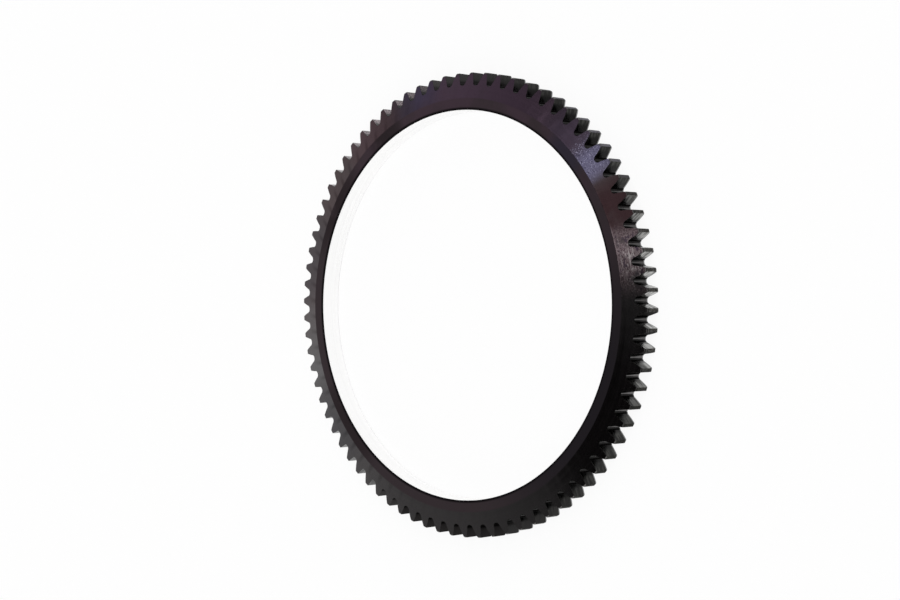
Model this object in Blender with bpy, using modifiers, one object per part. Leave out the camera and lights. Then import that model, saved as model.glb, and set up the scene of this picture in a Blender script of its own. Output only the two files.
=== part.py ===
"""Flywheel ring gear: one steel ring, turned, hobbed with involute teeth and laid flat.

The axis is Z. The plain rear face lies on Z = 0, the bevelled face looks up, and the
middle of tooth 0 lies on +X. Lengths are in metres.
"""
import math

import bmesh
import bpy

# Teeth: a full-depth involute rack profile, set by its module
MODULE = 0.003
TOOTH_COUNT = 78
PRESSURE_ANGLE = math.radians(20.0)
ADDENDUM_PER_MODULE = 1.0
DEDENDUM_PER_MODULE = 1.25
TOOTH_THINNING = 0.0006
ROOT_FILLET_RADIUS = 0.0017
LEAST_ROOT_FLAT = 0.0001
TIP_ROUND_RADIUS = 0.0003

# Turned ring: the wall left under the tooth roots, its flat land and its bevel
FACE_WIDTH = 0.012
RIM_WALL = 0.01275
LAND_WIDTH = 0.006
BEVEL_ANGLE = math.radians(15.0)
BORE_CHAMFER = 0.0004
TIP_EDGE_BREAK = 0.0005

# How finely the curves are cut into straight pieces
FLANK_STEPS = 4
FILLET_STEPS = 3
FILLET_FIT_PASSES = 40
TIP_ROUND_STEPS = 2
RING_STEPS_PER_TOOTH = 4

# The gear outline stands past both faces, and the turned blank past the tooth tips
CUT_OVERRUN = 0.001
WELD_DISTANCE = 0.000001
SHARP_ANGLE = math.radians(25.0)

PITCH_ANGLE = 2 * math.pi / TOOTH_COUNT
PITCH_RADIUS = MODULE * TOOTH_COUNT / 2
BASE_RADIUS = PITCH_RADIUS * math.cos(PRESSURE_ANGLE)
TIP_RADIUS = PITCH_RADIUS + ADDENDUM_PER_MODULE * MODULE
ROOT_RADIUS = PITCH_RADIUS - DEDENDUM_PER_MODULE * MODULE
BORE_RADIUS = ROOT_RADIUS - RIM_WALL
LAND_RADIUS = BORE_RADIUS + LAND_WIDTH


def clear_objects():
    for obj in list(bpy.data.objects):
        bpy.data.objects.remove(obj, do_unlink=True)


def new_collection(name):
    collection = bpy.data.collections.new(name)
    bpy.context.scene.collection.children.link(collection)
    return collection


def new_material(name, color, metallic, roughness):
    material = bpy.data.materials.new(name)
    material.use_nodes = True
    shader = material.node_tree.nodes["Principled BSDF"]
    shader.inputs["Base Color"].default_value = (*color, 1.0)
    shader.inputs["Metallic"].default_value = metallic
    shader.inputs["Roughness"].default_value = roughness
    return material


def polar(radius, angle):
    return radius * math.cos(angle), radius * math.sin(angle)


def arc_points(center, start, end, steps):
    """Points on the shorter arc round a centre, from the start point to the end point."""
    start_angle = math.atan2(start[1] - center[1], start[0] - center[0])
    end_angle = math.atan2(end[1] - center[1], end[0] - center[0])
    turn = math.remainder(end_angle - start_angle, 2 * math.pi)
    radius = math.dist(center, start)
    points = []
    for step in range(steps + 1):
        x, y = polar(radius, start_angle + turn * step / steps)
        points.append((center[0] + x, center[1] + y))
    return points


def flank_point(roll, offset=0.0):
    """A point of the flank on the -Y side of the tooth on +X.

    The string that unwinds from the base circle is square to the flank, so an offset
    along it, positive into the tooth gap, gives the centre of a tangent round.
    """
    involute = math.tan(PRESSURE_ANGLE) - PRESSURE_ANGLE
    half_tooth = math.pi / (2 * TOOTH_COUNT) - TOOTH_THINNING / (2 * PITCH_RADIUS)
    direction = roll - half_tooth - involute
    string = BASE_RADIUS * roll + offset
    x, y = polar(BASE_RADIUS, direction)
    return x + string * math.sin(direction), y - string * math.cos(direction)


def root_fillet_radius():
    """The root fillet asked for, or the largest one that the tooth gap has room for.

    A fillet too large for the gap has its centre past the middle of the gap. Each pass
    shrinks it by what the centre stands past the place that leaves the least root flat.
    """
    middle_of_gap = PITCH_ANGLE / 2 - LEAST_ROOT_FLAT / (2 * ROOT_RADIUS)
    radius = ROOT_FILLET_RADIUS
    for _ in range(FILLET_FIT_PASSES):
        reach = math.sqrt((ROOT_RADIUS + radius) ** 2 - BASE_RADIUS ** 2)
        center = flank_point((reach - radius) / BASE_RADIUS, radius)
        overreach = -math.atan2(center[1], center[0]) - middle_of_gap
        radius -= max(0.0, overreach * BASE_RADIUS)
    return radius


def half_tooth_points():
    """One side of the tooth on +X, from the root circle up to the middle of the tip."""
    fillet_radius = root_fillet_radius()
    fillet_reach = math.sqrt((ROOT_RADIUS + fillet_radius) ** 2 - BASE_RADIUS ** 2)
    root_roll = (fillet_reach - fillet_radius) / BASE_RADIUS
    tip_reach = math.sqrt((TIP_RADIUS - TIP_ROUND_RADIUS) ** 2 - BASE_RADIUS ** 2)
    tip_roll = (tip_reach + TIP_ROUND_RADIUS) / BASE_RADIUS

    fillet_center = flank_point(root_roll, fillet_radius)
    root_point = polar(ROOT_RADIUS, math.atan2(fillet_center[1], fillet_center[0]))
    points = arc_points(fillet_center, root_point, flank_point(root_roll), FILLET_STEPS)
    for step in range(1, FLANK_STEPS):
        points.append(flank_point(root_roll + (tip_roll - root_roll) * step / FLANK_STEPS))

    round_center = flank_point(tip_roll, -TIP_ROUND_RADIUS)
    tip_point = polar(TIP_RADIUS, math.atan2(round_center[1], round_center[0]))
    points += arc_points(round_center, flank_point(tip_roll), tip_point, TIP_ROUND_STEPS)
    points.append((TIP_RADIUS, 0.0))
    return points


def gear_outline():
    """The closed outline of all the teeth, counter-clockwise."""
    rising = half_tooth_points()
    falling = [(x, -y) for x, y in reversed(rising[:-1])]
    outline = []
    for tooth in range(TOOTH_COUNT):
        turn = tooth * PITCH_ANGLE
        for x, y in rising + falling:
            radius = math.hypot(x, y)
            outline.append(polar(radius, math.atan2(y, x) + turn))
    return outline


def make_toothed_prism(collection):
    """The hobbed outline as a straight prism that runs past both faces of the ring."""
    outline = gear_outline()
    curve = bpy.data.curves.new("toothed_prism", "CURVE")
    curve.dimensions = "2D"
    curve.fill_mode = "BOTH"
    curve.extrude = FACE_WIDTH / 2 + CUT_OVERRUN
    spline = curve.splines.new("POLY")
    spline.points.add(len(outline) - 1)
    for point, (x, y) in zip(spline.points, outline):
        point.co = (x, y, 0.0, 1.0)
    spline.use_cyclic_u = True
    drawn = bpy.data.objects.new("toothed_prism_curve", curve)
    drawn.location.z = FACE_WIDTH / 2
    collection.objects.link(drawn)
    bpy.context.view_layer.update()

    mesh = bpy.data.meshes.new_from_object(drawn.evaluated_get(
        bpy.context.evaluated_depsgraph_get()))
    edit = bmesh.new()
    edit.from_mesh(mesh)
    bmesh.ops.remove_doubles(edit, verts=edit.verts, dist=WELD_DISTANCE)
    edit.to_mesh(mesh)
    edit.free()
    prism = bpy.data.objects.new("toothed_prism", mesh)
    prism.matrix_world = drawn.matrix_world.copy()
    collection.objects.link(prism)
    bpy.data.objects.remove(drawn, do_unlink=True)
    prism.hide_render = True
    prism.display_type = "WIRE"
    return prism


def blank_section():
    """Half section of the turned blank, as (radius, height), closed round the wall.

    The edge breaks at the tooth tips run on past the tip circle.
    """
    outer_radius = TIP_RADIUS + CUT_OVERRUN
    break_radius = TIP_RADIUS - TIP_EDGE_BREAK
    bevel_drop = (break_radius - LAND_RADIUS) * math.tan(BEVEL_ANGLE)
    break_drop = outer_radius - break_radius
    section = [(BORE_RADIUS + BORE_CHAMFER, FACE_WIDTH)]
    section.append((LAND_RADIUS, FACE_WIDTH))
    section.append((break_radius, FACE_WIDTH - bevel_drop))
    section.append((outer_radius, FACE_WIDTH - bevel_drop - break_drop))
    section.append((outer_radius, break_drop))
    section.append((break_radius, 0.0))
    section.append((BORE_RADIUS + BORE_CHAMFER, 0.0))
    section.append((BORE_RADIUS, BORE_CHAMFER))
    section.append((BORE_RADIUS, FACE_WIDTH - BORE_CHAMFER))
    return section


def make_blank(collection):
    """The ring as turned, before the teeth are cut: a section swept round Z."""
    ring_steps = RING_STEPS_PER_TOOTH * TOOTH_COUNT
    off_center = PITCH_ANGLE / (2 * RING_STEPS_PER_TOOTH)
    mesh = bpy.data.meshes.new("ring_gear")
    section = blank_section()
    points = [(*polar(radius, off_center), height) for radius, height in section]
    count = len(points)
    edges = [(index, (index + 1) % count) for index in range(count)]
    mesh.from_pydata(points, edges, [])
    blank = bpy.data.objects.new("ring_gear", mesh)
    collection.objects.link(blank)
    sweep = blank.modifiers.new("turning", "SCREW")
    sweep.axis = "Z"
    sweep.angle = 2 * math.pi
    sweep.steps = ring_steps
    sweep.render_steps = ring_steps
    sweep.use_merge_vertices = True
    sweep.merge_threshold = WELD_DISTANCE
    return blank


def hob_teeth(blank, prism):
    """Leaves of the blank only what lies inside the toothed outline."""
    hobbing = blank.modifiers.new("hobbing", "BOOLEAN")
    hobbing.operation = "INTERSECT"
    hobbing.solver = "EXACT"
    hobbing.object = prism


def apply_modifiers(obj):
    bpy.context.view_layer.update()
    evaluated = obj.evaluated_get(bpy.context.evaluated_depsgraph_get())
    rough = obj.data
    obj.data = bpy.data.meshes.new_from_object(evaluated)
    obj.data.name = obj.name
    obj.modifiers.clear()
    bpy.data.meshes.remove(rough)


def finish_surface(gear):
    """Blackened steel all over, with the bore left bright from its last cut."""
    mesh = gear.data
    mesh.materials.clear()
    mesh.materials.append(new_material("blackened_steel", (0.085, 0.075, 0.078), 1.0, 0.42))
    mesh.materials.append(new_material("bright_bore_steel", (0.62, 0.61, 0.6), 1.0, 0.3))
    bore_limit = BORE_RADIUS + BORE_CHAMFER / 2
    for face in mesh.polygons:
        on_bore = math.hypot(face.center.x, face.center.y) < bore_limit
        face.material_index = 1 if on_bore else 0
    mesh.shade_smooth()
    mesh.set_sharp_from_angle(angle=SHARP_ANGLE)


clear_objects()
parts = new_collection("flywheel_ring_gear")
cutters = new_collection("cutters")
toothed_prism = make_toothed_prism(cutters)
ring_gear = make_blank(parts)
hob_teeth(ring_gear, toothed_prism)
apply_modifiers(ring_gear)
finish_surface(ring_gear)
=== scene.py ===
"""A flywheel ring gear lying bevel side up on a pale studio floor, seen from its right front."""
import math

import bmesh
import bpy
from mathutils import Matrix, Vector


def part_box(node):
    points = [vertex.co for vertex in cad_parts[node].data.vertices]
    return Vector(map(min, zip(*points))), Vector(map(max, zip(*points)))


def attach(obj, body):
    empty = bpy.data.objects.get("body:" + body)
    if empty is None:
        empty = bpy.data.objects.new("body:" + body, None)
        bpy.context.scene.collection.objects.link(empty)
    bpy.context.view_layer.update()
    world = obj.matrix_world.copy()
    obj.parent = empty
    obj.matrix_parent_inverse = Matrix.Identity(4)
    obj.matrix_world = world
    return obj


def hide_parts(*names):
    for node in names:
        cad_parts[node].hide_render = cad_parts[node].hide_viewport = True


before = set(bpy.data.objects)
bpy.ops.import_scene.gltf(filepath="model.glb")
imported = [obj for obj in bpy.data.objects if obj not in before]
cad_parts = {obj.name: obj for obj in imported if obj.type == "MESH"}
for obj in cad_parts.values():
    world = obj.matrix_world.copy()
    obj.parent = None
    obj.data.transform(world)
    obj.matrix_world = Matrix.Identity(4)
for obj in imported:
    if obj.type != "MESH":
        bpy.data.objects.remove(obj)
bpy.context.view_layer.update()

# The ring is one piece of medium-carbon steel, turned from a rolled blank: a flat land beside
# the bore, a shallow cone across the fronts of the teeth and a plain rear face. Its straight
# involute teeth are hobbed, with a fillet at every root and lightly broken edges.
TOOTH_COUNT = 78
PRESSURE_ANGLE = math.radians(20.0)
DEDENDUM_PER_MODULE = 1.25
TOOTH_THINNING = 0.0006
ROOT_FILLET_RADIUS = 0.0017
TIP_ROUND_RADIUS = 0.0003
RIM_WALL = 0.01275
LAND_WIDTH = 0.006
BEVEL_ANGLE = math.radians(15.0)
BORE_CHAMFER = 0.0004
TIP_EDGE_BREAK = 0.0005
LAND_EDGE_WIDTH = 0.0003
EDGE_ROUND = 0.0001
EDGE_ROUND_STEPS = 2
SHARP_ANGLE = math.radians(25.0)
ROOT_STEPS = 1
TOOTH_BASE_STEPS = 4
FILLET_STEPS = 6
FLANK_STEPS = 8
TIP_ROUND_STEPS = 3
WELD = 0.000001
NEAR = 0.00002
ROOT_FACE_DIP = 0.0002
SPIN_AXIS = (0, 0, -1)

ring_low, ring_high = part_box("ring_gear")
FACE_WIDTH = ring_high.z - ring_low.z
TIP_RADIUS = ring_high.x
MODULE = 2 * TIP_RADIUS / (TOOTH_COUNT + 2)
PITCH_RADIUS = MODULE * TOOTH_COUNT / 2
PITCH_ANGLE = 2 * math.pi / TOOTH_COUNT
BASE_RADIUS = PITCH_RADIUS * math.cos(PRESSURE_ANGLE)
ROOT_RADIUS = PITCH_RADIUS - DEDENDUM_PER_MODULE * MODULE
BORE_RADIUS = ROOT_RADIUS - RIM_WALL
LAND_RADIUS = BORE_RADIUS + LAND_WIDTH
BREAK_RADIUS = TIP_RADIUS - TIP_EDGE_BREAK


def flank_point(roll, offset=0.0):
    """A point of the flank on the -Y side of the tooth on +X, or off it into the gap."""
    involute = math.tan(PRESSURE_ANGLE) - PRESSURE_ANGLE
    half_tooth = math.pi / (2 * TOOTH_COUNT) - TOOTH_THINNING / (2 * PITCH_RADIUS)
    direction = roll - half_tooth - involute
    string = BASE_RADIUS * roll + offset
    along = Vector((math.cos(direction), math.sin(direction)))
    across = Vector((math.sin(direction), -math.cos(direction)))
    return BASE_RADIUS * along + string * across


def arc_points(center, start, end, steps):
    """Points after the start, up to the end, on the shorter arc round the centre."""
    first, last = start - center, end - center
    bend = math.remainder(math.atan2(last.y, last.x) - math.atan2(first.y, first.x), 2 * math.pi)
    points = []
    for step in range(1, steps + 1):
        points.append(center + Matrix.Rotation(bend * step / steps, 2) @ first)
    return points


def tooth_rungs():
    """Places of the flank from the root circle to the tip, and the root's own half angle."""
    fillet_reach = math.sqrt((ROOT_RADIUS + ROOT_FILLET_RADIUS) ** 2 - BASE_RADIUS ** 2)
    root_roll = (fillet_reach - ROOT_FILLET_RADIUS) / BASE_RADIUS
    tip_reach = math.sqrt((TIP_RADIUS - TIP_ROUND_RADIUS) ** 2 - BASE_RADIUS ** 2)
    tip_roll = (tip_reach + TIP_ROUND_RADIUS) / BASE_RADIUS
    break_roll = math.sqrt(BREAK_RADIUS ** 2 - BASE_RADIUS ** 2) / BASE_RADIUS
    fillet_center = flank_point(root_roll, ROOT_FILLET_RADIUS)
    root = fillet_center * (ROOT_RADIUS / fillet_center.length)
    points = arc_points(fillet_center, root, flank_point(root_roll), FILLET_STEPS)
    for step in range(1, FLANK_STEPS + 1):
        points.append(flank_point(root_roll + (break_roll - root_roll) * step / FLANK_STEPS))
    points.append(flank_point(tip_roll))
    round_center = flank_point(tip_roll, -TIP_ROUND_RADIUS)
    tip = round_center * (TIP_RADIUS / round_center.length)
    points += arc_points(round_center, flank_point(tip_roll), tip, TIP_ROUND_STEPS)
    return points, -math.atan2(root.y, root.x)


def select_elements(elements, wanted):
    """In edit mode, selects only the vertices, edges or faces that pass the test."""
    bpy.ops.mesh.select_all(action="DESELECT")
    edit = bmesh.from_edit_mesh(bpy.context.object.data)
    for element in getattr(edit, elements):
        if wanted(element):
            element.select_set(True)
    edit.select_flush_mode()
    bmesh.update_edit_mesh(bpy.context.object.data)


def radius_of(point):
    return math.hypot(point.x, point.y)


# One pitch of the blank: its half section is spun through half a gap, a tooth and half a gap
bpy.ops.object.select_all(action="DESELECT")
start_turn = Matrix.Rotation(-PITCH_ANGLE / 2, 3, "Z")
section_middle = Vector((BORE_RADIUS + RIM_WALL / 2, 0, FACE_WIDTH / 2))
bpy.ops.mesh.primitive_plane_add(
    size=1, location=start_turn @ section_middle, rotation=(math.pi / 2, 0, -PITCH_ANGLE / 2))
ring = bpy.context.object
ring.name = "toothed_ring"
ring.scale = (RIM_WALL, FACE_WIDTH, 1)
bpy.ops.object.transform_apply(location=True, rotation=True, scale=True)
bpy.ops.object.mode_set(mode="EDIT")
bpy.ops.mesh.select_mode(type="VERT")
for side in (-1, 1):
    bpy.ops.mesh.select_all(action="SELECT")
    edge_radius = LAND_RADIUS + side * LAND_EDGE_WIDTH / 2
    bpy.ops.mesh.bisect(plane_co=start_turn @ Vector((edge_radius, 0, 0)),
                        plane_no=start_turn @ Vector((1, 0, 0)))
select_elements("verts", lambda v: radius_of(v.co) < BORE_RADIUS + NEAR)
bpy.ops.mesh.bevel(affect="VERTICES", offset=BORE_CHAMFER, segments=1)
bpy.ops.mesh.select_all(action="SELECT")
bpy.ops.mesh.delete(type="ONLY_FACE")
bpy.ops.mesh.select_mode(type="EDGE")
select_elements("edges", lambda e: abs(radius_of(e.verts[0].co) - radius_of(e.verts[1].co)) < NEAR
                and BORE_RADIUS + NEAR < radius_of(e.verts[0].co) < ROOT_RADIUS - NEAR)
bpy.ops.mesh.delete(type="EDGE")
bpy.ops.mesh.select_all(action="SELECT")

rungs, root_half_angle = tooth_rungs()
root_gap_angle = PITCH_ANGLE / 2 - root_half_angle
for spin_angle, spin_steps in ((root_gap_angle, ROOT_STEPS),
                               (2 * root_half_angle, TOOTH_BASE_STEPS),
                               (root_gap_angle, ROOT_STEPS)):
    bpy.ops.mesh.spin(steps=spin_steps, angle=spin_angle, center=(0, 0, 0), axis=SPIN_AXIS)

# The tooth: its base is made flat, and drawn out rung by rung to the tip. The faces round the
# root circle are flat, so their middles dip inside it.
bpy.ops.mesh.select_mode(type="FACE")
select_elements("faces", lambda f: radius_of(f.calc_center_median()) > ROOT_RADIUS - ROOT_FACE_DIP
                and abs(math.atan2(f.calc_center_median().y, f.calc_center_median().x))
                < root_half_angle)
base_half_width = ROOT_RADIUS * math.sin(root_half_angle)
bpy.ops.transform.resize(
    value=(0, 1, 1), center_override=(ROOT_RADIUS * math.cos(root_half_angle), 0, 0))
for rung in rungs:
    bpy.ops.mesh.extrude_region()
    bpy.ops.transform.resize(
        value=(0, -rung.y / base_half_width, 1), center_override=(rung.x, 0, 0))
    base_half_width = -rung.y

bpy.ops.mesh.select_all(action="SELECT")
bpy.ops.mesh.spin(steps=TOOTH_COUNT - 1, dupli=True, angle=2 * math.pi - PITCH_ANGLE,
                  center=(0, 0, 0), axis=SPIN_AXIS)
bpy.ops.mesh.select_all(action="SELECT")
bpy.ops.mesh.remove_doubles(threshold=WELD)
bpy.ops.mesh.normals_make_consistent(inside=False)
bpy.ops.object.mode_set(mode="OBJECT")

# The cone across the tooth fronts, and the breaks that run round the tips on both faces. The
# weighted normals keep large faces flat to the eye right up to their rounded edges.
for vertex in ring.data.vertices:
    vertex_radius = radius_of(vertex.co)
    break_depth = max(0.0, vertex_radius - BREAK_RADIUS)
    if vertex.co.z < FACE_WIDTH / 2:
        vertex.co.z += break_depth
    else:
        cone_width = max(0.0, min(vertex_radius, BREAK_RADIUS) - LAND_RADIUS)
        vertex.co.z -= cone_width * math.tan(BEVEL_ANGLE) + break_depth
edge_rounding = ring.modifiers.new("edge_rounding", "BEVEL")
edge_rounding.width = EDGE_ROUND
edge_rounding.segments = EDGE_ROUND_STEPS
edge_rounding.limit_method = "ANGLE"
edge_rounding.angle_limit = SHARP_ANGLE
edge_rounding.use_clamp_overlap = False
edge_rounding.loop_slide = False
edge_rounding.face_strength_mode = "FSTR_AFFECTED"
flat_shading = ring.modifiers.new("flat_shading", "WEIGHTED_NORMAL")
flat_shading.mode = "CORNER_ANGLE"
flat_shading.use_face_influence = True
bpy.ops.object.shade_smooth()
for modifier_name in ("edge_rounding", "flat_shading"):
    bpy.ops.object.modifier_apply(modifier=modifier_name)
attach(ring, "root")
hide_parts("ring_gear")


# The turned faces have a thin black oxide under a wipe of oil. They keep their lathe marks,
# are heat-tinted violet and brown in places, and are scuffed where rings lay on each other.
# A painted blue highlight with painted glints lies at the upper right, and painted shade
# darkens the cone and the land on the right.
OXIDE_COLOR = (0.118, 0.11, 0.112)
VIOLET = dict(color=(0.195, 0.125, 0.187), place=(88.0, 62.0), specks=(30.0, 0.1, 0.5))
VIOLET_HAZE = dict(color=(0.15, 0.118, 0.21), place=(109.0, 13.0), specks=(50.0, 0.1, 0.5))
WIPED_GREY = dict(color=(0.15, 0.146, 0.15), place=(192.0, 16.0), specks=(90.0, 0.2, 0.5))
DARK_BROWN = dict(color=(0.092, 0.066, 0.069), place=(148.0, 55.0), specks=(40.0, 0.2, 0.5))
RED_BROWN = dict(color=(0.128, 0.08, 0.092), place=(125.0, 14.0), specks=(50.0, 0.1, 0.4))
# Painted shade: a band of the cone on the right is painted near black, like a dark reflection.
PAINTED_SHADE_BAND = dict(color=(0.06, 0.052, 0.055), place=(-27.5, 28.0), specks=(40.0, 0.1, 0.4))
SMOKE = dict(color=(0.069, 0.056, 0.062), place=(167.0, 17.0), specks=(60.0, 0.1, 0.4))
GREY_OXIDE = dict(color=(0.092, 0.087, 0.092), place=(-143.0, 16.0), specks=(60.0, 0.1, 0.4))
BROWN_STAIN = dict(color=(0.062, 0.034, 0.038), place=(26.0, 12.0), specks=(50.0, 0.1, 0.4))
# Painted highlight: a blue patch at the upper right with painted glints and dark specks. The darker
# violet beside it is partly violet tint and partly painted shade.
BLUE_HIGHLIGHT = dict(color=(0.2, 0.186, 0.3), place=(40.6, 7.2), specks=(60.0, 0.0, 0.3))
DARK_VIOLET_SHADE = dict(color=(0.085, 0.062, 0.092), place=(50.5, 9.5), specks=(60.0, 0.0, 0.3))
PAINTED_GLINTS = dict(color=(0.5, 0.48, 0.66), place=(41.0, 7.0), specks=(1700.0, 0.56, 0.66))
BLUE_SPOTS = dict(color=(0.06, 0.055, 0.1), place=(41.0, 7.0), specks=(1500.0, 0.57, 0.66))

SCUFF_COLOR = (0.31, 0.24, 0.256)
SCUFF_SPECK_COLOR = (0.14, 0.097, 0.11)
SCUFF_SPOT_COLOR = (0.1, 0.07, 0.1)
SCRATCH_COLOR = (0.7, 0.62, 0.63)
SCUFF_SPECKS = (1500.0, 0.42, 0.58)
SCRATCHES = dict(pitch=0.0005, breaks=7.0, limits=(0.58, 0.72))
SMEARS = dict(pitch=0.0011, breaks=55.0, limits=(0.46, 0.76))
SMEAR_PLACE = (10.0, 8.0)
TOOTH_FRONT_RADII = (LAND_RADIUS + 0.002, LAND_RADIUS + 0.0045)
BLOTS = dict(pitch=0.0017, breaks=38.0, limits=(0.56, 0.68))
SCUFF_PLACE = (12.0, 10.5)
SCUFF_EDGE_SPECKS = (170.0, 0.25, 0.45)
RUBBED_EDGE_PLACE = (14.0, 9.0)
RUBBED_EDGE_RADII = (LAND_RADIUS + 0.0008, LAND_RADIUS + 0.0004)

BREAK_COLOR = (0.05, 0.048, 0.047)
WORN_BREAK_COLOR = (0.1, 0.095, 0.095)
WORN_BREAK_PLACE = (14.0, 16.0)
BREAK_RADII = (BREAK_RADIUS - 0.0003, BREAK_RADIUS)

LAND_COLOR = (0.15, 0.115, 0.128)
LAND_STAIN_COLOR = (0.095, 0.072, 0.08)
LAND_STAIN_PLACES = ((-140.0, 18.0), (151.0, 18.0), (121.0, 9.0))
LAND_STAIN_SPECKS = (120.0, 0.2, 0.5)
LAND_VIOLET = dict(color=(0.205, 0.135, 0.178), place=(85.0, 80.0), specks=(60.0, 0.3, 0.6))
LAND_BLUE_COLOR = (0.13, 0.11, 0.16)
LAND_BLUE_PLACE = (47.0, 9.0)
# Painted shade: the land is painted darker on the right, along with the cone.
LAND_PAINTED_SHADE = dict(color=(0.072, 0.062, 0.074), place=(-28.0, 51.0), specks=(60.0, 0.0, 0.3))
LAND_RIM_COLOR = (0.028, 0.022, 0.027)
LAND_RIM_RADII = (BORE_RADIUS + 0.0018, BORE_RADIUS + 0.0007)
LAND_EDGE_RADII = (LAND_RADIUS - LAND_EDGE_WIDTH, LAND_RADIUS + LAND_EDGE_WIDTH)

FINE_MARKS = dict(pitch=0.00025, breaks=3.0)
WIDE_MARKS = dict(pitch=0.0016, breaks=2.0)
TURNED_ROUGHNESS = dict(least=0.13, change=0.12)
TURNED_RELIEF = dict(strength=0.15, depth=0.00002)
NOISE_DETAIL = 3.0
MIX_COLOR_A, MIX_COLOR_B, MIX_COLOR_RESULT = 6, 7, 2


def add_node(tree, kind, inputs=None, **settings):
    """A node with its settings, and each named or numbered input linked or set."""
    node = tree.nodes.new(kind)
    for name, value in settings.items():
        setattr(node, name, value)
    for name, value in (inputs or {}).items():
        if isinstance(value, bpy.types.NodeSocket):
            tree.links.new(value, node.inputs[name])
        else:
            node.inputs[name].default_value = value
    return node


def new_group(name, inputs, outputs):
    """An empty node group: its tree, its input sockets and its output node's sockets."""
    tree = bpy.data.node_groups.new(name, "ShaderNodeTree")
    for socket_name, kind in inputs.items():
        tree.interface.new_socket(name=socket_name, in_out="INPUT", socket_type=kind)
    for socket_name, kind in outputs.items():
        tree.interface.new_socket(name=socket_name, in_out="OUTPUT", socket_type=kind)
    return tree, tree.nodes.new("NodeGroupInput").outputs, tree.nodes.new("NodeGroupOutput").inputs


def use_group(tree, group, inputs=None):
    return add_node(tree, "ShaderNodeGroup", inputs, node_tree=group).outputs


def math_node(tree, operation, *values):
    return add_node(tree, "ShaderNodeMath", dict(enumerate(values)), operation=operation).outputs[0]


def vector_node(tree, operation, first, second):
    return add_node(tree, "ShaderNodeVectorMath", {0: first, 1: second}, operation=operation).outputs


def noise_node(tree, place, scale):
    return add_node(tree, "ShaderNodeTexNoise",
                    {"Vector": place, "Scale": scale, "Detail": NOISE_DETAIL}).outputs["Fac"]


def object_place(tree):
    return add_node(tree, "ShaderNodeTexCoord").outputs["Object"]


def mix_colors(tree, factor, first, second):
    mix = add_node(tree, "ShaderNodeMix", {0: factor}, data_type="RGBA")
    for index, value in ((MIX_COLOR_A, first), (MIX_COLOR_B, second)):
        if isinstance(value, bpy.types.NodeSocket):
            tree.links.new(value, mix.inputs[index])
        else:
            mix.inputs[index].default_value = (*value, 1.0)
    return mix.outputs[MIX_COLOR_RESULT]


def ramp(tree, value, start, full):
    """Goes smoothly from 0 at one value to 1 at another, which may be the smaller."""
    return add_node(tree, "ShaderNodeMapRange", {0: value, 1: start, 2: full},
                    interpolation_type="SMOOTHSTEP").outputs[0]


def new_material(name, metallic):
    material = bpy.data.materials.new(name)
    material.use_nodes = True
    shader = material.node_tree.nodes["Principled BSDF"]
    shader.inputs["Metallic"].default_value = metallic
    return material, material.node_tree, shader


NUMBER = "NodeSocketFloat"
places, _, places_out = new_group("ring_places", {}, {"Radius": NUMBER,
                                                      "Direction": "NodeSocketVector"})
flat_place = vector_node(places, "MULTIPLY", object_place(places), (1, 1, 0))["Vector"]
radius_here = add_node(places, "ShaderNodeVectorMath", {0: flat_place}, operation="LENGTH")
direction_here = add_node(places, "ShaderNodeVectorMath", {0: flat_place}, operation="NORMALIZE")
places.links.new(radius_here.outputs["Value"], places_out["Radius"])
places.links.new(direction_here.outputs["Vector"], places_out["Direction"])

toward, toward_in, toward_out = new_group(
    "round_the_ring", {"Degrees": NUMBER, "Half Width": NUMBER}, {"Mask": NUMBER})
direction_there = use_group(toward, places)["Direction"]
aim = math_node(toward, "RADIANS", toward_in["Degrees"])
aimed = add_node(toward, "ShaderNodeCombineXYZ", {0: math_node(toward, "COSINE", aim),
                                                  1: math_node(toward, "SINE", aim)}).outputs[0]
alike = vector_node(toward, "DOT_PRODUCT", direction_there, aimed)["Value"]
least_alike = math_node(toward, "COSINE", math_node(toward, "RADIANS", toward_in["Half Width"]))
toward.links.new(ramp(toward, alike, least_alike, 1.0), toward_out["Mask"])

lathe, lathe_in, lathe_out = new_group(
    "lathe_marks", {"Pitch": NUMBER, "Breaks": NUMBER}, {"Height": NUMBER})
turned_place = use_group(lathe, places)
across_marks = math_node(lathe, "DIVIDE", turned_place["Radius"], lathe_in["Pitch"])
along_marks = add_node(lathe, "ShaderNodeVectorMath", {
    0: turned_place["Direction"], "Scale": lathe_in["Breaks"]}, operation="SCALE").outputs[0]
marks_upright = add_node(lathe, "ShaderNodeCombineXYZ", {2: across_marks}).outputs[0]
drawn_out = vector_node(lathe, "ADD", marks_upright, along_marks)["Vector"]
lathe.links.new(noise_node(lathe, drawn_out, 1.0), lathe_out["Height"])

speckles, speckles_in, speckles_out = new_group(
    "speckle", {"Scale": NUMBER, "Low": NUMBER, "High": NUMBER}, {"Mask": NUMBER})
grains = noise_node(speckles, object_place(speckles), speckles_in["Scale"])
speckles.links.new(ramp(speckles, grains, speckles_in["Low"], speckles_in["High"]),
                   speckles_out["Mask"])


def speckle(tree, specks):
    """A mask of noise: its scale, and the noise at which the mask starts and is full."""
    scale, low, high = specks
    return use_group(tree, speckles, {"Scale": scale, "Low": low, "High": high})["Mask"]


def lathe_marks(tree, pitch, breaks):
    """The height of lathe marks: their pitch outwards, and breaks a radian round the ring."""
    return use_group(tree, lathe, {"Pitch": pitch, "Breaks": breaks})["Height"]


def streaks(tree, pitch, breaks, limits):
    """A mask of the highest lathe marks."""
    return ramp(tree, lathe_marks(tree, pitch, breaks), *limits)


def patch(tree, place, broken_by=1.0):
    """A patch that lies towards one side of the ring and is broken up by another mask.

    The place is its middle and its half width in degrees round the ring, where 0 is on the
    right in the photograph and 90 at the top.
    """
    degrees, half_width = place
    there = use_group(tree, toward, {"Degrees": degrees, "Half Width": half_width})["Mask"]
    return math_node(tree, "MULTIPLY", there, broken_by)


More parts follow.
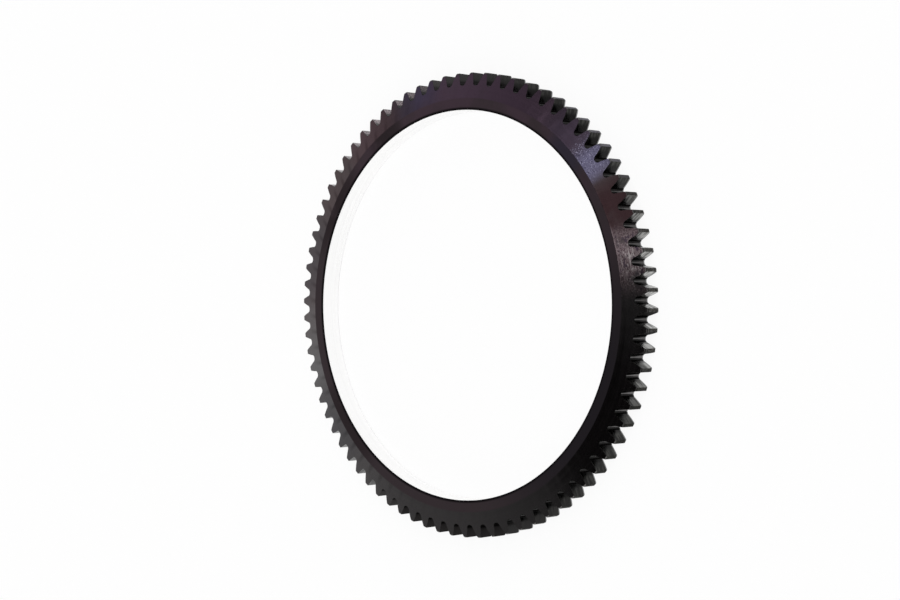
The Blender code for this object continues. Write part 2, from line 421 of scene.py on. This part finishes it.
def stain(tree, under, color, place, specks):
    """Lays a speckled patch of another colour over the colour under it."""
    return mix_colors(tree, patch(tree, place, speckle(tree, specks)), under, color)


def roughen(tree, shader, marks, least, change):
    """Makes the surface rougher the higher its marks are."""
    roughness = math_node(tree, "MULTIPLY_ADD", marks, change, least)
    tree.links.new(roughness, shader.inputs["Roughness"])


def emboss(tree, shader, marks, strength, depth):
    """Lets the marks catch the light as shallow relief."""
    bump = add_node(tree, "ShaderNodeBump",
                    {"Height": marks, "Strength": strength, "Distance": depth})
    tree.links.new(bump.outputs["Normal"], shader.inputs["Normal"])


turned, tree, shader = new_material("blackened_turned_steel", metallic=1.0)
ring_radius = use_group(tree, places)["Radius"]
color = OXIDE_COLOR
# The tints, and the painted shade and painted highlight on the cone, are laid on in turn.
for tint_or_painted_light in (VIOLET, VIOLET_HAZE, WIPED_GREY, DARK_BROWN, RED_BROWN, PAINTED_SHADE_BAND, SMOKE, GREY_OXIDE,
             BROWN_STAIN, BLUE_HIGHLIGHT, DARK_VIOLET_SHADE, PAINTED_GLINTS, BLUE_SPOTS):
    color = stain(tree, color, **tint_or_painted_light)

scuffed = mix_colors(tree, speckle(tree, SCUFF_SPECKS), SCUFF_SPECK_COLOR, SCUFF_COLOR)
scuffed = mix_colors(tree, streaks(tree, **SCRATCHES), scuffed, SCRATCH_COLOR)
on_tooth_fronts = ramp(tree, ring_radius, *TOOTH_FRONT_RADII)
smeared = math_node(tree, "MULTIPLY", streaks(tree, **SMEARS), on_tooth_fronts)
scuffed = mix_colors(tree, patch(tree, SMEAR_PLACE, smeared), scuffed, SCRATCH_COLOR)
scuffed = mix_colors(tree, streaks(tree, **BLOTS), scuffed, SCUFF_SPOT_COLOR)
color = stain(tree, color, scuffed, SCUFF_PLACE, SCUFF_EDGE_SPECKS)
rubbed_edge = ramp(tree, ring_radius, *RUBBED_EDGE_RADII)
color = mix_colors(tree, patch(tree, RUBBED_EDGE_PLACE, rubbed_edge), color, SCUFF_COLOR)

tip_break = mix_colors(tree, patch(tree, WORN_BREAK_PLACE), BREAK_COLOR, WORN_BREAK_COLOR)
color = mix_colors(tree, ramp(tree, ring_radius, *BREAK_RADII), color, tip_break)

land = stain(tree, LAND_COLOR, **LAND_VIOLET)
for stain_place in LAND_STAIN_PLACES:
    land = stain(tree, land, LAND_STAIN_COLOR, stain_place, LAND_STAIN_SPECKS)
land = mix_colors(tree, patch(tree, LAND_BLUE_PLACE), land, LAND_BLUE_COLOR)
# Painted shade on the right side of the land.
land = stain(tree, land, **LAND_PAINTED_SHADE)
land = mix_colors(tree, ramp(tree, ring_radius, *LAND_RIM_RADII), land, LAND_RIM_COLOR)
color = mix_colors(tree, ramp(tree, ring_radius, *LAND_EDGE_RADII), land, color)
tree.links.new(color, shader.inputs["Base Color"])
roughen(tree, shader, lathe_marks(tree, **WIDE_MARKS), **TURNED_ROUGHNESS)
emboss(tree, shader, lathe_marks(tree, **FINE_MARKS), **TURNED_RELIEF)
ring.data.materials.append(turned)


# The flanks and root floors were hobbed, which leaves fine feed marks from root to tip, one
# after another across the width. The flanks on the right are painted much lighter as painted
# reflection, and painted shade makes them dark round the rest of the ring and near black from
# the root up, in the fillets and higher up at the upper right. It leaves the floors between the
# fillets as thin grey strips, which widen towards the rear.
FLANK_COLOR = (0.05, 0.05, 0.046)
FLANK_STREAK_COLOR = (0.014, 0.014, 0.013)
FLANK_STREAK_LIMITS = (0.44, 0.57)
# Painted reflection: the flanks on the right are painted much lighter. Painted shade: round the rest
# of the ring they are painted dark.
LIT_FLANK_COLOR = (0.4, 0.4, 0.39)
LIT_STREAK_LIMITS = (0.4, 0.6)
LIT_FLANK_PLACE = (3.0, 28.0)
SHADED_FLANK_COLOR = (0.022, 0.021, 0.021)
UNSHADED_FLANK_PLACE = (8.0, 85.0)
UNSHADED_FLANK_SPECKS = (200.0, 0.0, 0.3)
CORNER_COLOR = (0.27, 0.215, 0.235)
CORNER_SPECKS = (1500.0, 0.42, 0.55)
CORNER_PLACE = (131.0, 32.0)
# Painted shade: near black from the root up, higher at the upper right, and over the fillets.
NEAR_BLACK_COLOR = (0.006, 0.0055, 0.0055)
SHADE_HEIGHTS = (0.0034, 0.0017)
HIGH_SHADE_HEIGHTS = (0.0056, 0.0034)
HIGH_SHADE_PLACE = (52.0, 36.0)
FILLET_SHADE_HEIGHTS = (ROOT_FILLET_RADIUS, ROOT_FILLET_RADIUS / 2)
ROOT_COLOR = (0.075, 0.072, 0.072)
ROOT_WORN_COLOR = (0.13, 0.125, 0.125)
ROOT_WORN_PLACE = (-30.0, 34.0)
# The painted shade leaves a thin strip on each root floor, wider towards the rear.
ROOT_STRIP_HEIGHTS = (0.000018, 0.0)
ROOT_FLARE = 0.00005
ROOT_FLARE_HEIGHT = 0.008
BURR_COLOR = (0.25, 0.25, 0.25)
BURR_HEIGHTS = (0.001, 0.0005)
FEED_MARKS = dict(pitch=0.0016, breaks=130.0)
HOBBED_ROUGHNESS = dict(least=0.18, change=0.15)
HOBBED_RELIEF = dict(strength=0.3, depth=0.00003)

cuts, cuts_in, cuts_out = new_group(
    "cut_marks", {"Pitch": NUMBER, "Breaks": NUMBER}, {"Height": NUMBER})
cut_scale = add_node(cuts, "ShaderNodeCombineXYZ", {
    0: cuts_in["Breaks"], 1: cuts_in["Breaks"],
    2: math_node(cuts, "DIVIDE", 1.0, cuts_in["Pitch"])}).outputs[0]
stretched = vector_node(cuts, "MULTIPLY", object_place(cuts), cut_scale)["Vector"]
cuts.links.new(noise_node(cuts, stretched, 1.0), cuts_out["Height"])


def cut_marks(tree, pitch, breaks):
    """The height of a cutter's marks: their pitch across the width, and breaks a metre along."""
    return use_group(tree, cuts, {"Pitch": pitch, "Breaks": breaks})["Height"]


def above_root(tree, radius, heights):
    """A mask that goes from 0 at one height above the root circle to 1 at another."""
    return ramp(tree, radius, ROOT_RADIUS + heights[0], ROOT_RADIUS + heights[1])


hobbed, tree, shader = new_material("blackened_hobbed_steel", metallic=1.0)
feed = cut_marks(tree, **FEED_MARKS)
color = mix_colors(tree, ramp(tree, feed, *FLANK_STREAK_LIMITS), FLANK_STREAK_COLOR, FLANK_COLOR)
# Painted reflection on the right, painted shade round the rest of the ring.
lit_flank = mix_colors(tree, ramp(tree, feed, *LIT_STREAK_LIMITS), FLANK_COLOR, LIT_FLANK_COLOR)
color = mix_colors(tree, patch(tree, LIT_FLANK_PLACE), color, lit_flank)
color = stain(tree, SHADED_FLANK_COLOR, color, UNSHADED_FLANK_PLACE, UNSHADED_FLANK_SPECKS)
corners = mix_colors(tree, speckle(tree, CORNER_SPECKS), SHADED_FLANK_COLOR, CORNER_COLOR)
color = mix_colors(tree, patch(tree, CORNER_PLACE), color, corners)

flank_radius = use_group(tree, places)["Radius"]
# Painted shade from the root up and over the fillets.
color = mix_colors(tree, above_root(tree, flank_radius, SHADE_HEIGHTS), color, NEAR_BLACK_COLOR)
high_shade = above_root(tree, flank_radius, HIGH_SHADE_HEIGHTS)
color = mix_colors(tree, patch(tree, HIGH_SHADE_PLACE, high_shade), color, NEAR_BLACK_COLOR)
color = mix_colors(tree, above_root(tree, flank_radius, FILLET_SHADE_HEIGHTS), color, NEAR_BLACK_COLOR)

up_the_width = add_node(tree, "ShaderNodeSeparateXYZ", {0: object_place(tree)}).outputs["Z"]
flare = math_node(tree, "MULTIPLY", ramp(tree, up_the_width, ROOT_FLARE_HEIGHT, 0.0), ROOT_FLARE)
flared_radius = math_node(tree, "SUBTRACT", flank_radius, flare)
root_floor = mix_colors(tree, patch(tree, ROOT_WORN_PLACE), ROOT_COLOR, ROOT_WORN_COLOR)
on_floor = above_root(tree, flared_radius, ROOT_STRIP_HEIGHTS)
color = mix_colors(tree, on_floor, color, root_floor)
color = mix_colors(tree, ramp(tree, up_the_width, *BURR_HEIGHTS), color, BURR_COLOR)
tree.links.new(color, shader.inputs["Base Color"])
dull_streaks = ramp(tree, feed, *reversed(FLANK_STREAK_LIMITS))
roughen(tree, shader, dull_streaks, **HOBBED_ROUGHNESS)
emboss(tree, shader, feed, **HOBBED_RELIEF)
ring.data.materials.append(hobbed)


# The tips still have the dull dark skin of the turned blank, with a grain. It has a painted blue
# highlight at the upper right, and is worn paler on the right.
TIP_COLOR = (0.038, 0.038, 0.034)
TIP_GRAIN_COLOR = (0.013, 0.013, 0.012)
TIP_GRAIN_SPECKS = (1400.0, 0.4, 0.6)
# Painted highlight, blue, on the tips at the upper right.
TIP_HIGHLIGHT = dict(color=(0.15, 0.145, 0.165), place=(48.0, 20.0), specks=(900.0, 0.2, 0.5))
TIP_WEAR = dict(color=(0.085, 0.083, 0.08), place=(6.0, 30.0), specks=(1100.0, 0.4, 0.6))
TIP_GRAZING_TINT = (0.6, 0.6, 0.6, 1.0)
TIP_ROUGHNESS = 0.4
tips, tree, shader = new_material("dull_tip_skin", metallic=1.0)
color = mix_colors(tree, speckle(tree, TIP_GRAIN_SPECKS), TIP_GRAIN_COLOR, TIP_COLOR)
color = stain(tree, color, **TIP_HIGHLIGHT)
color = stain(tree, color, **TIP_WEAR)
tree.links.new(color, shader.inputs["Base Color"])
shader.inputs["Specular Tint"].default_value = TIP_GRAZING_TINT
shader.inputs["Roughness"].default_value = TIP_ROUGHNESS
ring.data.materials.append(tips)


# The fillets, the front edges of the gaps and the flanks at the bottom take painted shade, near
# black at the root and less dark away from it. The bore's chamfers and some lower flanks on the
# lower right take the same dark finish, and one stretch of flanks at the lower left is painted
# less dark.
HIGHER_DARK_COLOR = (0.026, 0.024, 0.024)
LESS_DARK_FLANK_COLOR = (0.058, 0.055, 0.055)
LESS_DARK_FLANK_PLACE = (-119.0, 8.0)
DARK_FADE_HEIGHTS = (0.0012, 0.0022)
DARKENED_GRAZING_TINT = (0.45, 0.45, 0.45, 1.0)
DARKENED_ROUGHNESS = 0.6
darkened, tree, shader = new_material("darkened_fillets", metallic=1.0)
clear_of_root = above_root(tree, use_group(tree, places)["Radius"], DARK_FADE_HEIGHTS)
color = mix_colors(tree, clear_of_root, NEAR_BLACK_COLOR, HIGHER_DARK_COLOR)
color = mix_colors(tree, patch(tree, LESS_DARK_FLANK_PLACE, clear_of_root), color, LESS_DARK_FLANK_COLOR)
tree.links.new(color, shader.inputs["Base Color"])
shader.inputs["Specular Tint"].default_value = DARKENED_GRAZING_TINT
shader.inputs["Roughness"].default_value = DARKENED_ROUGHNESS
ring.data.materials.append(darkened)


# The bore is bored after blackening, to the size that shrinks onto the flywheel, so its wall
# is bright steel with fine boring marks.
BORED_COLOR = (1.0, 0.998, 0.995)
BORING_MARK_COLOR = (0.94, 0.937, 0.933)
BORING_MARKS = dict(pitch=0.0004, breaks=9.0)
BORING_MARK_LIMITS = (0.35, 0.5)
BORED_ROUGHNESS = dict(least=0.22, change=0.16)
BORED_RELIEF = dict(strength=0.1, depth=0.00001)
bored, tree, shader = new_material("bright_bored_steel", metallic=1.0)
boring = cut_marks(tree, **BORING_MARKS)
color = mix_colors(tree, ramp(tree, boring, *BORING_MARK_LIMITS), BORING_MARK_COLOR, BORED_COLOR)
tree.links.new(color, shader.inputs["Base Color"])
roughen(tree, shader, boring, **BORED_ROUGHNESS)
emboss(tree, shader, boring, **BORED_RELIEF)
ring.data.materials.append(bored)


# Each face has the finish of the cut that made it, except that the bore's chamfers, the fillets,
# the front edges of the gaps and some flanks take the dark finish, which is painted shade on the
# fillets, the gap edges and the bottom flanks. Tilt is how far it looks up or down the axis: 0 on
# the walls of the bore and the teeth, 0.97 on the cone and 1 on the flat faces.
TURNED, HOBBED, TIP_SKIN, DARKENED, BORED = range(len(ring.data.materials))
BORE_WALL_RADIUS = BORE_RADIUS + BORE_CHAMFER / 5
BORE_WALL_TILT = 0.5
CHAMFER_TILT = 0.95
TOOTH_SIDE_RADIUS = ROOT_RADIUS - 2 * EDGE_ROUND
TOOTH_SIDE_TILT = 0.93
TIP_BREAK_RADIUS = BREAK_RADIUS - EDGE_ROUND
TIP_BREAK_TILT = 0.6
TIP_FACING_OUT = 0.7
FRONT_EDGE_UP = 0.1
# The gaps at the bottom take the dark finish as painted shade. Some lower flanks on the lower right
# take it too.
SHADED_GAP_DEGREES = (-123.0, -75.0)
DARK_FLANK_DEGREES = (-30.0, 0.5)
FLANK_FACING_DOWN = -0.5
FILLET_TOP_RADIUS = ROOT_RADIUS + 0.55 * ROOT_FILLET_RADIUS
FLOOR_FACING_OUT = 0.8


def finish_of(face):
    """Tests from the bore outwards: the first that a face passes gives its finish."""
    radius = radius_of(face.center)
    degrees = math.degrees(math.atan2(face.center.y, face.center.x))
    in_shaded_gap = SHADED_GAP_DEGREES[0] < degrees < SHADED_GAP_DEGREES[1]
    by_dark_flank = DARK_FLANK_DEGREES[0] < degrees < DARK_FLANK_DEGREES[1]
    facing_out = face.normal.dot(Vector((face.center.x, face.center.y, 0))) / radius
    tilt = abs(face.normal.z)
    if radius < BORE_WALL_RADIUS and tilt < BORE_WALL_TILT:
        return BORED
    if radius < BORE_RADIUS + BORE_CHAMFER and tilt < CHAMFER_TILT:
        return DARKENED
    if radius <= TOOTH_SIDE_RADIUS or tilt >= TOOTH_SIDE_TILT:
        return TURNED
    if radius > TIP_BREAK_RADIUS and tilt > TIP_BREAK_TILT:
        return TURNED
    if radius > TIP_RADIUS - TIP_ROUND_RADIUS and facing_out > TIP_FACING_OUT:
        return TIP_SKIN
    if face.normal.z > FRONT_EDGE_UP or in_shaded_gap:
        return DARKENED
    if by_dark_flank and face.normal.y < FLANK_FACING_DOWN:
        return DARKENED
    if radius < FILLET_TOP_RADIUS and facing_out < FLOOR_FACING_OUT:
        return DARKENED
    return HOBBED


for face in ring.data.polygons:
    face.material_index = finish_of(face)


# The floor is a pale board that runs out of sight. To the camera and in reflections it glows
# nearly to white, and it keeps a faint shadow of the ring.
FLOOR_SIZE = 6.0
FLOOR_COLOR = (0.93, 0.93, 0.93, 1.0)
FLOOR_ROUGHNESS = 0.9
FLOOR_GLOW = 0.9
GLOW_COLOR = (1, 1, 1, 1)
bpy.ops.mesh.primitive_plane_add(size=FLOOR_SIZE)
floor = bpy.context.object
floor.name = "studio_floor"
pale, tree, shader = new_material("pale_board", metallic=0.0)
shader.inputs["Base Color"].default_value = FLOOR_COLOR
shader.inputs["Roughness"].default_value = FLOOR_ROUGHNESS
rays = add_node(tree, "ShaderNodeLightPath").outputs
seen = math_node(tree, "MAXIMUM", rays["Is Camera Ray"], rays["Is Glossy Ray"])
seen = math_node(tree, "MAXIMUM", seen, rays["Is Transmission Ray"])
white = add_node(tree, "ShaderNodeEmission", {"Color": GLOW_COLOR, "Strength": 1.0}).outputs[0]
glow = math_node(tree, "MULTIPLY", seen, FLOOR_GLOW)
blend = add_node(tree, "ShaderNodeMixShader", {0: glow, 1: shader.outputs[0], 2: white})
tree.links.new(blend.outputs[0], tree.nodes["Material Output"].inputs["Surface"])
floor.data.materials.append(pale)


# The studio is a tent: dark straight overhead, brightest just above the camera and at both
# ends, and grey on the far side, where a softbox stands high over the ring. Its steps are
# (degrees from overhead, level), with minus on the camera's side.
TENT_STEPS = ((-50, 0.3), (-36, 0.5), (-30, 3.3), (-16, 3.3), (-8, 0.3), (0, 0.02), (22, 0.015),
              (27, 0.12), (35, 0.155), (50, 0.26), (58, 0.26), (64, 0.31), (72, 0.65), (90, 0.7))
END_LEVEL = 2.3
END_LIMITS = (0.64, 0.85)
KEY_LEAN_BACK = math.radians(14.9)
KEY_LEAN_UP = math.radians(17.3)
KEY_DISTANCE = 3.0
KEY_SIZE = (0.59, 1.4)
KEY_POWER = 1.9
world = bpy.data.worlds.new("studio_tent")
bpy.context.scene.world = world
world.use_nodes = True
tree = world.node_tree
look = add_node(tree, "ShaderNodeSeparateXYZ",
                {0: add_node(tree, "ShaderNodeTexCoord").outputs["Generated"]}).outputs
leaning = math_node(tree, "ARCTAN2", math_node(tree, "MULTIPLY", look[0], -1.0), look[2])
share = math_node(tree, "MULTIPLY_ADD", leaning, 1 / math.pi, 0.5)
tent = add_node(tree, "ShaderNodeValToRGB", {0: share})
for degrees, level in TENT_STEPS:
    tent_step = tent.color_ramp.elements.new((degrees + 90) / 180)
    tent_step.color = (level, level, level, 1.0)
tent.color_ramp.elements[0].color = tent.color_ramp.elements[1].color
tent.color_ramp.elements[-1].color = tent.color_ramp.elements[-2].color
at_ends = ramp(tree, math_node(tree, "ABSOLUTE", look[1]), *END_LIMITS)
tent_color = mix_colors(tree, at_ends, tent.outputs[0], (END_LEVEL, END_LEVEL, END_LEVEL))
tree.links.new(tent_color, tree.nodes["Background"].inputs["Color"])

key_light = bpy.data.lights.new("key_softbox", "AREA")
key_light.shape = "RECTANGLE"
key_light.size, key_light.size_y = KEY_SIZE
key_light.energy = KEY_POWER
key_direction = Vector((-math.tan(KEY_LEAN_BACK), math.tan(KEY_LEAN_UP), 1)).normalized()
key_lamp = bpy.data.objects.new("key_softbox", key_light)
key_lamp.location = key_direction * KEY_DISTANCE
key_lamp.rotation_euler = key_direction.to_track_quat("Z", "Y").to_euler()
bpy.context.scene.collection.objects.link(key_lamp)


# The camera stands to the right of the ring and looks down on it, rolled on its side so that
# the ring shows upright, as in the photograph.
VIEW_TILT = math.radians(42.78)
TOOTH_PHASE = math.radians(1.057)
VIEW_DISTANCE = 0.9691
LENS = 75.16
SENSOR_WIDTH = 36.0
CLIP_START = 0.01
AIM_LEFT = 0.00353
AIM_UP = 0.00263
phase_turn = Matrix.Rotation(TOOTH_PHASE, 3, "Z")
camera_right = phase_turn @ Vector((math.cos(VIEW_TILT), 0, -math.sin(VIEW_TILT)))
camera_up = phase_turn @ Vector((0, 1, 0))
camera_back = phase_turn @ Vector((math.sin(VIEW_TILT), 0, math.cos(VIEW_TILT)))
camera_data = bpy.data.cameras.new("camera")
camera_data.sensor_width = SENSOR_WIDTH
camera_data.lens = LENS
camera_data.clip_start = CLIP_START
camera = bpy.data.objects.new("camera", camera_data)
bpy.context.scene.collection.objects.link(camera)
camera_place = Vector((0, 0, FACE_WIDTH)) + camera_back * VIEW_DISTANCE
camera_place += camera_up * AIM_UP - camera_right * AIM_LEFT
camera_axes = Matrix((camera_right, camera_up, camera_back)).transposed()
camera.matrix_world = Matrix.Translation(camera_place) @ camera_axes.to_4x4()
bpy.context.scene.camera = camera
bpy.context.scene.view_settings.view_transform = "Standard"
